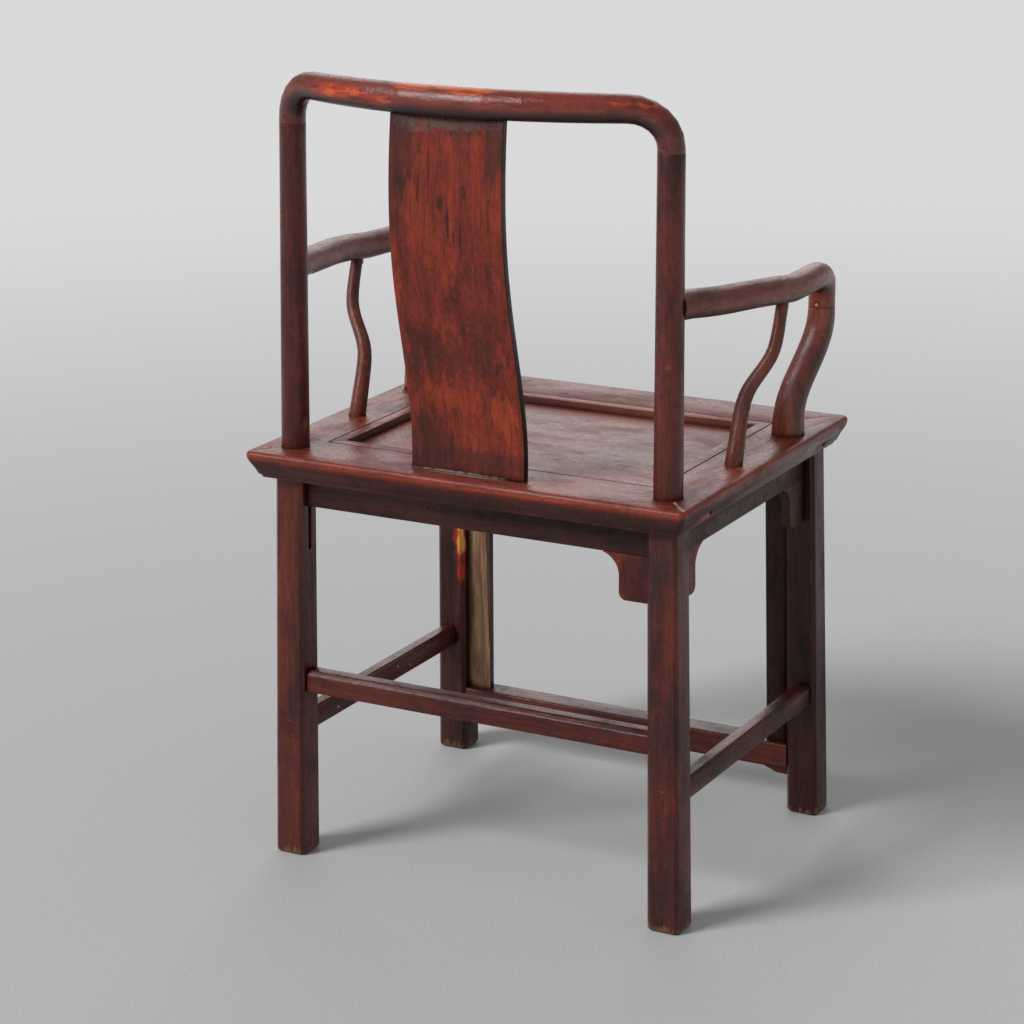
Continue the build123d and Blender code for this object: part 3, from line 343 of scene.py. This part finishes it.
def lacquer(
    name,
    grain,
    tones,
    rough=0.34,
    gloss=0.42,
    figure=1.0,
    wear=0.5,
    corner_shade=0.85,
    under=0.6,
    under_shade_from=0.25,
    flank_shade=0.0,
    slope=0.0,
    bare_back=False,
    back_only=False,
    marks=(),
):
    """Old lacquer over streaked wood, rubbed on its edges, with painted shade in its corners, underneath and
    on its flanks.

    figure is how strongly the wood shows and wear how rubbed the edges are. The settings for corners, under
    and flank are how strong the painted shade is deep in the corners and on the faces that look down and to
    the sitter's right, and slope how rosy the tilted ones are. bare_back leaves the faces that look back
    bare. marks are (centre, half size, colour, strength, rag) in metres in the chair's own frame, laid on in
    turn, and back_only keeps them to the faces that look back.
    """
    g = Graph(name)
    noise = g.noises(grain, LACQUER_NOISES)
    colour = tones["middle"]
    for source, start, full, share, figured, tone in LACQUER_LAYERS:
        strength = share * figure if figured else share
        colour = g.blend(g.ramp(noise[source], start, full, 0.0, strength), colour, tones[tone])
    colour = g.blend(g.times(g.tilted(), slope), colour, ROSE)
    rubbed = g.times(g.edges(RUBBED_REACH), g.ramp(noise["ragged"], *RUBBED_SPAN))
    colour = g.blend(g.times(rubbed, wear), colour, ORANGE)
    colour = g.blend(g.ramp(noise["specks"], *SPECK_SPAN, 0.0, SPECK_SHARE), colour, BARE)
    if bare_back:
        raw = bare_figure(g, noise, RAW_PALE, RAW_DARK)
        colour = g.blend(g.facing(BACKWARDS, *BARE_BACK_SPAN), colour, raw)

    seen = g.facing(BACKWARDS, *MARKED_BACK_SPAN) if back_only else 1.0
    for centre, half_size, tint, strength, rag in marks:
        spot = g.times(g.patch(centre, half_size, rag, noise["ragged"]), seen)
        broken = g.ramp(noise["fibres"], *BROKEN_SPAN, LEAST_BROKEN_SHARE * strength, strength)
        colour = g.blend(g.times(spot, broken), colour, tint)

    # Painted shade: darker on faces that look down, on faces that look to the sitter's right and deep in
    # corners
    shaded_below = g.facing(DOWN, under_shade_from, under_shade_from + UNDER_SHADE_RISE)
    colour = g.blend(g.times(shaded_below, under), colour, PAINTED_SHADE)
    colour = g.blend(g.times(g.facing(TO_THE_RIGHT, *FLANK_SHADE_SPAN), flank_shade), colour, PAINTED_SHADE)
    colour = g.blend(g.times(g.corners(CORNER_SHADE_REACH), corner_shade), colour, PAINTED_SHADE)
    dullness = g.math("MULTIPLY_ADD", noise["mottle"], SHEEN_MOTTLE, noise["clouds"])
    roughness = g.ramp(dullness, *SHEEN_SPAN, rough - SMOOTHER, rough + ROUGHER)
    relief = 0.0
    for source, share in RELIEF_SHARES.items():
        relief = g.math("MULTIPLY_ADD", noise[source], share, relief)
    return g.finish(colour, roughness, relief, RELIEF_HEIGHT, gloss)


def corner(name, pick):
    """The low corner of a piece in the frame where pick is min, and its high corner where pick is max."""
    places = [vertex.co for vertex in nodes[name].data.vertices]
    return Vector(pick(place[axis] for place in places) for axis in range(3))


def marks_from(anchor, rows):
    """Marks in metres, from rows whose places run from anchor and whose lengths are in millimetres."""
    return [
        (Vector(anchor) + MM * Vector(place), MM * Vector(half_size), colour, strength, rag)
        for place, half_size, colour, strength, rag in rows
    ]


def mirrored(rows):
    """Rows of marks, each followed by its twin on the other side of the chair."""
    return [((side * x, y, z), *rest) for (x, y, z), *rest in rows for side in (1, -1)]


# Places that marks and bends run from, all on the frame's own pieces
splat_low = corner("back_splat", min)
crest_low = corner("crest_rail", min)
crest_high = corner("crest_rail", max)
arm_low = corner("arm_rail_left", min)
post_low = corner("rear_leg_left", min)
right_rail_low = corner("seat_rail_right", min)
right_rail_high = corner("seat_rail_right", max)
rear_nose = corner("seat_rail_back", max).y
seat_top = right_rail_high.z
arm_joint = arm_low.z

# Bare wood round each foot, a bare patch low on the left post and a rubbed fleck on the right one
foot_marks = [
    mark
    for mount in frame["record"]["mounts"]
    for mark in marks_from(mount["pos_m"], [((0, 0, 0), (30, 30, 9), BARE, 0.8, 0.8)])
]
left_post_marks = marks_from(
    (post_low.x, post_low.y, seat_top),
    [((0.4, 36.75, 24), (3, 14, 14), BARE, 0.85, 0.5)],
)
right_post_marks = marks_from(
    (-post_low.x, post_low.y, seat_top),
    [((-22.3, 41.75, 147), (4, 10, 3.5), ORANGE, 0.8, 0.4)],
)

# Crest: pipe joints, rubbed patches from the sitter's left to right, a painted highlight and a crack
crest_joint_marks = marks_from(
    (0, post_low.y, crest_low.z),
    [
        ((236.5, 24.75, 0), (50, 50, 0.6), SOOT, 0.4, 0.0),
        ((-236.5, 24.75, 0), (50, 50, 0.6), SOOT, 0.7, 0.0),
        *mirrored([((236.5, 24.75, 0), (40, 60, 36), MAROON, 0.5, 0.3)]),
    ],
)
crest_patches = marks_from(
    (0, crest_high.y, crest_high.z),
    [
        ((128, -32, -19), (48, 20, 11), RUBBED, 1.0, 0.6),
        ((86, -20, -22), (44, 20, 10), RUBBED, 1.0, 0.6),
        ((150, -37, -17), (12, 20, 6), WORN_BRIGHT, 0.8, 0.9),
        ((112, -28, -15), (18, 20, 3), WORN_BRIGHT, 0.8, 1.0),
        ((74, -18, -23), (16, 20, 6), WORN_BRIGHT, 0.8, 0.9),
        ((98, -24, -20), (24, 20, 2.6), SOOT, 0.8, 0.9),
        ((34, -18, -1), (28, 14, 5), WORN_BRIGHT, 0.8, 1.0),
        ((-22, -16, -1.5), (34, 14, 4), WORN_BRIGHT, 0.75, 1.0),
        ((-216, -70, -14), (14, 20, 3), WORN_BRIGHT, 0.45, 1.0),
        ((-196, -56, -11), (16, 16, 2), WORN_BRIGHT, 0.35, 1.0),
    ],
)
# Painted highlight: a broad lighter red band along the crest's top
crest_painted_highlight = marks_from((0, crest_high.y, crest_high.z), [((0, -27, -8), (210, 50, 20), PAINTED_HIGHLIGHT_RED, 0.5, 0.3)])
crest_crack = marks_from((0, crest_high.y, crest_high.z), [((-83, -20, -12), (7, 20, 0.6), SOOT, 0.8, 0.2)])

# Splat, from its head to its foot: smoked head, scuffs, cracks, smoke lower down, and dust at the seat
splat_marks = marks_from(
    (0, splat_low.y, seat_top),
    [
        ((0, 47, 424), (110, 30, 34), SMOKE, 0.9, 0.4),
        ((60, 51, 370), (22, 30, 55), SMOKE, 0.7, 0.5),
        ((-58, 51, 372), (10, 30, 35), SMOKE, 0.6, 0.5),
        ((4, 47, 397), (40, 20, 5), SCUFF_AND_PAINTED_LIGHT, 0.40, 0.9),
        ((30, 47, 390), (16, 20, 4), SCUFF_AND_PAINTED_LIGHT, 0.35, 0.9),
        ((6, 46, 312), (5.5, 30, 9), SOOT, 0.7, 0.7),
        ((-22, 46, 326), (4.5, 30, 7), SOOT, 0.6, 0.7),
        ((52, 46, 336), (8, 30, 10), SOOT, 0.4, 0.9),
        ((33, 46, 326), (1.2, 30, 20), SOOT, 0.8, 0.7),
        ((20, 46, 338), (1.0, 30, 26), SOOT, 0.6, 0.7),
        ((-3, 46, 292), (1.4, 30, 15), SOOT, 0.9, 0.7),
        ((-10, 46, 278), (1.2, 30, 12), SOOT, 0.9, 0.7),
        ((-18, 46, 268), (1.2, 30, 18), SOOT, 0.8, 0.7),
        ((-45, 41, 190), (26, 50, 60), SMOKE, 0.35, 0.8),
        ((10, 21, 140), (60, 50, 24), SMOKE, 0.5, 0.9),
        ((36, 16, 88), (30, 50, 12), WORN_BRIGHT, 0.12, 0.9),
        ((-50, 13, 72), (14, 50, 22), WORN_BRIGHT, 0.24, 0.8),
        ((0, 13, 90), (30, 50, 10), WORN_BRIGHT, 0.08, 0.9),
        ((45, 11, 34), (26, 50, 24), SMOKE, 0.6, 0.8),
        ((0, 11, 12), (90, 50, 18), SMOKE, 0.65, 0.5),
        ((0, 11, 0), (90, 50, 3), SOOT, 0.85, 0.2),
        ((12, 11, 0.5), (52, 50, 1.8), DUST, 0.9, 0.55),
    ],
)

# The seams where the arm rails meet the goose necks
arm_joint_marks = marks_from(
    (0, arm_low.y, arm_joint),
    mirrored([((267, 16.4, 0), (50, 50, 0.6), SOOT, 0.85, 0.0)]),
)

# Seat frame: grime and dust at the splat's foot, rubbed streaks and a painted highlight on the rear nose,
# paler walls round the panel, the left one lightened as painted light over its shade
splat_foot_marks = marks_from(
    (0, splat_low.y, seat_top),
    [
        ((0, 12, 0), (78, 4, 3), SOOT, 0.85, 0.15),
        ((6, 14, 0), (56, 2, 3), DUST, 0.9, 0.45),
    ],
)
# Rubbed wear and a painted highlight: lighter red streaks along the rear nose
nose_wear_and_highlight = marks_from(
    (0, rear_nose, seat_top),
    [
        ((0, -2.15, -10), (250, 12, 3.5), RUBBED, 0.45, 0.6),
        ((-80, -2.15, -8.5), (80, 12, 2), WORN_BRIGHT, 0.35, 0.9),
    ],
)
front_wall_marks = marks_from(
    (0, corner("seat_rail_front", max).y, seat_top),
    [((0, 0, -7.5), (250, 4, 6.5), SCUFF_AND_PAINTED_LIGHT, 0.4, 0.1)],
)
# Painted light: the left wall, which faces away from the key light, lightened
left_wall_painted_light = marks_from(
    (corner("seat_rail_left", min).x, corner("seat_panel", min).y, seat_top),
    [((0, 145, -7.5), (4, 150, 6.5), SCUFF_AND_PAINTED_LIGHT, 0.8, 0.1)],
)

# The right rail's open tenon slot and seam, and the crack along the mitre at its rear corner
right_rail_marks = marks_from(
    (right_rail_low.x, right_rail_high.y, seat_top),
    [
        ((9, -116.7, -25), (25, 22, 3), SOOT, 1.0, 0.15),
        ((25, -94.7, 0), (0.6, 40, 3), SOOT, 0.7, 0.15),
    ],
)
mitre_crack = marks_from(
    (right_rail_low.x, right_rail_high.y, seat_top),
    [((13, -14.3, -2), (10, 9, 4), SOOT, 0.5, 0.3)]
    + [((26 - 2.9 * step, -28.7 + 3.2 * step, -3), (2.1, 1.8, 10), DUST, 0.75, 0.35) for step in range(8)],
)

# The burnt strip inside the front left leg, and the dirt on the bare board beside it
burnt_strip = marks_from(
    (corner("front_leg_left", min).x, corner("front_leg_left", max).y, 0),
    [
        ((6.1, -1.25, 340), (10, 10, 95), RUBBED, 0.9, 0.5),
        ((6.1, -1.25, 395), (7, 10, 24), YELLOW, 0.95, 0.6),
        ((6.1, -1.25, 352), (6, 10, 18), YELLOW, 0.95, 0.6),
        ((6.1, -1.25, 315), (6, 10, 16), YELLOW, 0.95, 0.6),
        ((6.1, -1.25, 282), (5, 10, 14), YELLOW, 0.9, 0.6),
        ((6.1, -1.25, 245), (5, 10, 18), RUBBED, 0.8, 0.6),
    ],
)
board_dirt = marks_from(
    (corner("arch_board_left", min).x, corner("arch_board_left", max).y, 0),
    [
        ((22, 2.85, 175), (30, 20, 70), SMOKE, 0.4, 0.6),
        ((9.5, 2.85, 300), (3, 20, 200), SOOT, 0.95, 0.25),
    ],
)

# Nail holes in the left stretcher's inner face, and two notches in the rear apron
nail_places = ((0, 184.7, 15.3), (0, 154.6, 8.3), (0, 325.3, 8.5))
nail_holes = marks_from(
    corner("stretcher_left", min),
    [(place, (6, 1.8, 1.8), DUST, 0.9, 0.1) for place in nail_places],
)
apron_notches = marks_from(
    (0, corner("apron_back", max).y, corner("apron_back", min).z),
    [((x, 0.4, 19.9), (2.6, 10, 2.2), SOOT, 1.0, 0.1) for x in (51.5, 59)],
)


def both(stem):
    """The names of a piece on both sides of the chair."""
    return [f"{stem}_{side}" for side in SIDES]


# Each material with the pieces that wear it
LOOKS = [
    (
        lacquer(
            "lacquer_post",
            "z",
            POST_TONES,
            rough=0.32,
            wear=0.7,
            marks=foot_marks + left_post_marks + right_post_marks,
        ),
        both("rear_leg"),
    ),
    (
        lacquer("lacquer_front_leg", "z", SHADE_TONES, gloss=0.28, wear=0.4, marks=foot_marks + burnt_strip),
        both("front_leg"),
    ),
    (
        lacquer("lacquer_across", "x", STRETCHER_TONES, gloss=0.36, wear=0.6),
        ["stretcher_back", "footrest", "footrest_apron"],
    ),
    (
        lacquer("lacquer_fore_aft", "y", STRETCHER_TONES, gloss=0.34, marks=nail_holes),
        both("stretcher"),
    ),
    (
        lacquer("lacquer_apron", "x", SHADE_TONES, rough=0.45, gloss=0.3, wear=0.3, marks=apron_notches),
        ["apron_back", *both("apron")],
    ),
    (
        lacquer("lacquer_spandrel", "z", SPANDREL_TONES, rough=0.42, gloss=0.34, wear=0.4),
        ["spandrel_back_right", "spandrel_left_front", "spandrel_right_rear"],
    ),
    (
        lacquer(
            "lacquer_seat_x",
            "x",
            SEAT_TONES,
            gloss=0.30,
            figure=0.6,
            under=0.85,
            under_shade_from=0.0,
            marks=splat_foot_marks + nose_wear_and_highlight + front_wall_marks + mitre_crack,
        ),
        ["seat_rail_back", "seat_rail_front"],
    ),
    (
        lacquer(
            "lacquer_seat_y",
            "y",
            SEAT_TONES,
            gloss=0.30,
            figure=0.6,
            under=0.85,
            under_shade_from=0.0,
            marks=mitre_crack + right_rail_marks + left_wall_painted_light,
        ),
        both("seat_rail"),
    ),
    (
        lacquer("lacquer_panel", "x", PANEL_TONES, gloss=0.34, figure=0.5, wear=0.3, slope=0.55),
        ["seat_panel"],
    ),
    (
        lacquer(
            "lacquer_crest",
            "x",
            CREST_TONES,
            rough=0.24,
            gloss=0.62,
            wear=0.0,
            corner_shade=0.15,
            under=0.9,
            under_shade_from=0.0,
            marks=crest_painted_highlight + crest_joint_marks + crest_crack + crest_patches,
        ),
        ["crest_rail", "crest_pegs"],
    ),
    (
        lacquer(
            "lacquer_splat",
            "z",
            SPLAT_TONES,
            rough=0.38,
            gloss=0.32,
            figure=0.8,
            flank_shade=0.9,
            back_only=True,
            marks=splat_marks,
        ),
        ["back_splat"],
    ),
    (
        lacquer(
            "lacquer_arm",
            "y",
            ARM_TONES,
            gloss=0.5,
            figure=0.7,
            under=0.8,
            under_shade_from=0.15,
            marks=arm_joint_marks,
        ),
        both("arm_rail"),
    ),
    (
        lacquer(
            "lacquer_neck",
            "z",
            ARM_TONES,
            rough=0.28,
            gloss=0.6,
            figure=0.7,
            flank_shade=0.5,
            marks=arm_joint_marks,
        ),
        both("goose_neck"),
    ),
    (
        lacquer("lacquer_side_post", "z", SIDE_POST_TONES, rough=0.30, gloss=0.5, figure=0.7, flank_shade=0.4),
        both("side_post"),
    ),
    (
        lacquer("lacquer_lining", "z", SHADE_TONES, rough=0.45, gloss=0.28),
        ["arch_board_top", "arch_board_right", "spandrel_right_front"],
    ),
    (
        lacquer(
            "lacquer_raw_board",
            "z",
            SHADE_TONES,
            rough=0.5,
            gloss=0.25,
            bare_back=True,
            marks=board_dirt,
        ),
        ["arch_board_left"],
    ),
    (bare_wood("plain_wood", "y", PLAIN_PALE, PLAIN_DARK), both("seat_batten")),
    (bare_wood("peg_wood", "y", PEG_PALE, PEG_DARK), ["arm_pegs"]),
]

# Bent pieces: the axis and places in metres where each end is held still and where it is evened fully
above_seat = ("Z", seat_top + 2 * MM, seat_top + 22 * MM)
EVENED = {
    "arm_rail": [
        ("Z", arm_joint + 0.8 * MM, arm_joint + 16.8 * MM),
        ("Y", post_low.y - 5.25 * MM, post_low.y - 30.25 * MM),
    ],
    "goose_neck": [above_seat, ("Z", arm_joint - 0.7 * MM, arm_joint - 18.2 * MM)],
    "side_post": [above_seat, ("Z", seat_top + 168 * MM, seat_top + 145 * MM)],
}


def even_bends(name, ends):
    """A modifier's node group that evens the kinks of a bent piece between its ends."""
    group = bpy.data.node_groups.new("even_" + name, "GeometryNodeTree")
    for way in ("INPUT", "OUTPUT"):
        group.interface.new_socket("Geometry", in_out=way, socket_type="NodeSocketGeometry")
    entry, leave, finer, place, parts, blur, move = (
        group.nodes.new(kind)
        for kind in (
            "NodeGroupInput",
            "NodeGroupOutput",
            "GeometryNodeSubdivideMesh",
            "GeometryNodeInputPosition",
            "ShaderNodeSeparateXYZ",
            "GeometryNodeBlurAttribute",
            "GeometryNodeSetPosition",
        )
    )
    group.links.new(place.outputs[0], parts.inputs[0])
    share = None
    for axis, still, full in ends:
        rise = group.nodes.new("ShaderNodeMapRange")
        rise.interpolation_type = "SMOOTHSTEP"
        group.links.new(parts.outputs[axis], rise.inputs["Value"])
        rise.inputs["From Min"].default_value = still
        rise.inputs["From Max"].default_value = full
        if share is None:
            share = rise.outputs[0]
        else:
            both_ends = group.nodes.new("ShaderNodeMath")
            both_ends.operation = "MULTIPLY"
            group.links.new(share, both_ends.inputs[0])
            group.links.new(rise.outputs[0], both_ends.inputs[1])
            share = both_ends.outputs[0]
    blur.data_type = "FLOAT_VECTOR"
    blur.inputs["Iterations"].default_value = EVENING_ROUNDS
    blurred = next(socket for socket in blur.inputs if socket.type == "VECTOR")
    evened = next(socket for socket in blur.outputs if socket.type == "VECTOR")
    group.links.new(place.outputs[0], blurred)
    group.links.new(share, blur.inputs["Weight"])
    group.links.new(entry.outputs[0], finer.inputs["Mesh"])
    group.links.new(finer.outputs[0], move.inputs["Geometry"])
    group.links.new(evened, move.inputs["Position"])
    group.links.new(move.outputs[0], leave.inputs[0])
    return group


def dress(name, material):
    """Gives a piece its material, and the modifiers that even its bends and wear its edges."""
    node = nodes[name]
    node.data.materials.clear()
    node.data.materials.append(material)
    node.data.shade_smooth()
    weld = node.modifiers.new("weld", "WELD")
    weld.merge_threshold = WELD_REACH
    stem = name.rpartition("_")[0]
    if stem in EVENED:
        node.modifiers.new("even_bends", "NODES").node_group = even_bends(name, EVENED[stem])
    soften = node.modifiers.new("worn_edges", "BEVEL")
    soften.width = FLUSH_EDGE_WEAR if name in FLUSH_PIECES else EDGE_WEAR
    soften.segments = EDGE_STEPS
    soften.limit_method = "ANGLE"
    soften.angle_limit = radians(EDGE_ANGLE)
    soften.harden_normals = True


for material, names in LOOKS:
    for name in names:
        dress(name, material)


def soft_sun(name, towards, breadth, strength):
    """A far soft light that comes from the direction towards, as broad as breadth in degrees."""
    lamp = bpy.data.lights.new(name, "SUN")
    lamp.angle = radians(breadth)
    lamp.energy = strength
    holder = bpy.data.objects.new(name, lamp)
    holder.rotation_euler = Vector(towards).to_track_quat("Z", "Y").to_euler()
    bpy.context.scene.collection.objects.link(holder)


for name, settings in SUNS.items():
    soft_sun(name, *settings)

world = bpy.data.worlds.new("studio")
world.use_nodes = True
sky_tree = world.node_tree
sky = sky_tree.nodes["Background"]
sky.inputs["Color"].default_value = (SKY_GREY, SKY_GREY, SKY_GREY, 1.0)
strength = sky_tree.nodes.new("ShaderNodeMath")
strength.operation = "MULTIPLY_ADD"
strength.inputs[1].default_value = SKY_SEEN - SKY_LIGHT
strength.inputs[2].default_value = SKY_LIGHT
light_path = sky_tree.nodes.new("ShaderNodeLightPath")
sky_tree.links.new(light_path.outputs["Is Camera Ray"], strength.inputs[0])
sky_tree.links.new(strength.outputs[0], sky.inputs["Strength"])
bpy.context.scene.world = world

bpy.ops.mesh.primitive_plane_add(size=FLOOR_WIDTH, location=(0, 0, 0))
floor = bpy.context.object
floor.name = "floor"
ground = Graph("floor_grey")
grit = ground.noises("z", FLOOR_NOISES)["grit"]
far = ground.ramp(ground.vector_math("LENGTH", ground.place)["Value"], *FLOOR_PALER_BETWEEN)
grey = ground.blend(ground.ramp(grit, *FLOOR_GRIT_SPAN), FLOOR_PALE, FLOOR_DARK)
grey = ground.blend(far, grey, FLOOR_FAR)
floor.data.materials.append(ground.finish(grey, FLOOR_ROUGHNESS, grit, FLOOR_RELIEF, FLOOR_GLOSS))

lens = bpy.data.cameras.new("camera")
lens.lens = CAMERA_LENS
lens.sensor_width = CAMERA_SENSOR
lens.clip_start = CAMERA_NEAR
lens.clip_end = CAMERA_FAR
camera = bpy.data.objects.new("camera", lens)
bpy.context.scene.collection.objects.link(camera)
bpy.context.scene.camera = camera

yaw, pitch, roll = (radians(angle) for angle in (CAMERA_YAW, CAMERA_PITCH, CAMERA_ROLL))
ahead = Vector((sin(yaw) * cos(pitch), -cos(yaw) * cos(pitch), -sin(pitch)))
right = ahead.cross(Vector((0, 0, 1))).normalized()
up = right.cross(ahead)
rolled_right = cos(roll) * right + sin(roll) * up
rolled_up = cos(roll) * up - sin(roll) * right
turn = Matrix((rolled_right, rolled_up, -ahead)).transposed().to_4x4()
camera.matrix_world = Matrix.Translation(CAMERA_PLACE) @ turn

bpy.context.scene.view_settings.view_transform = "Standard"
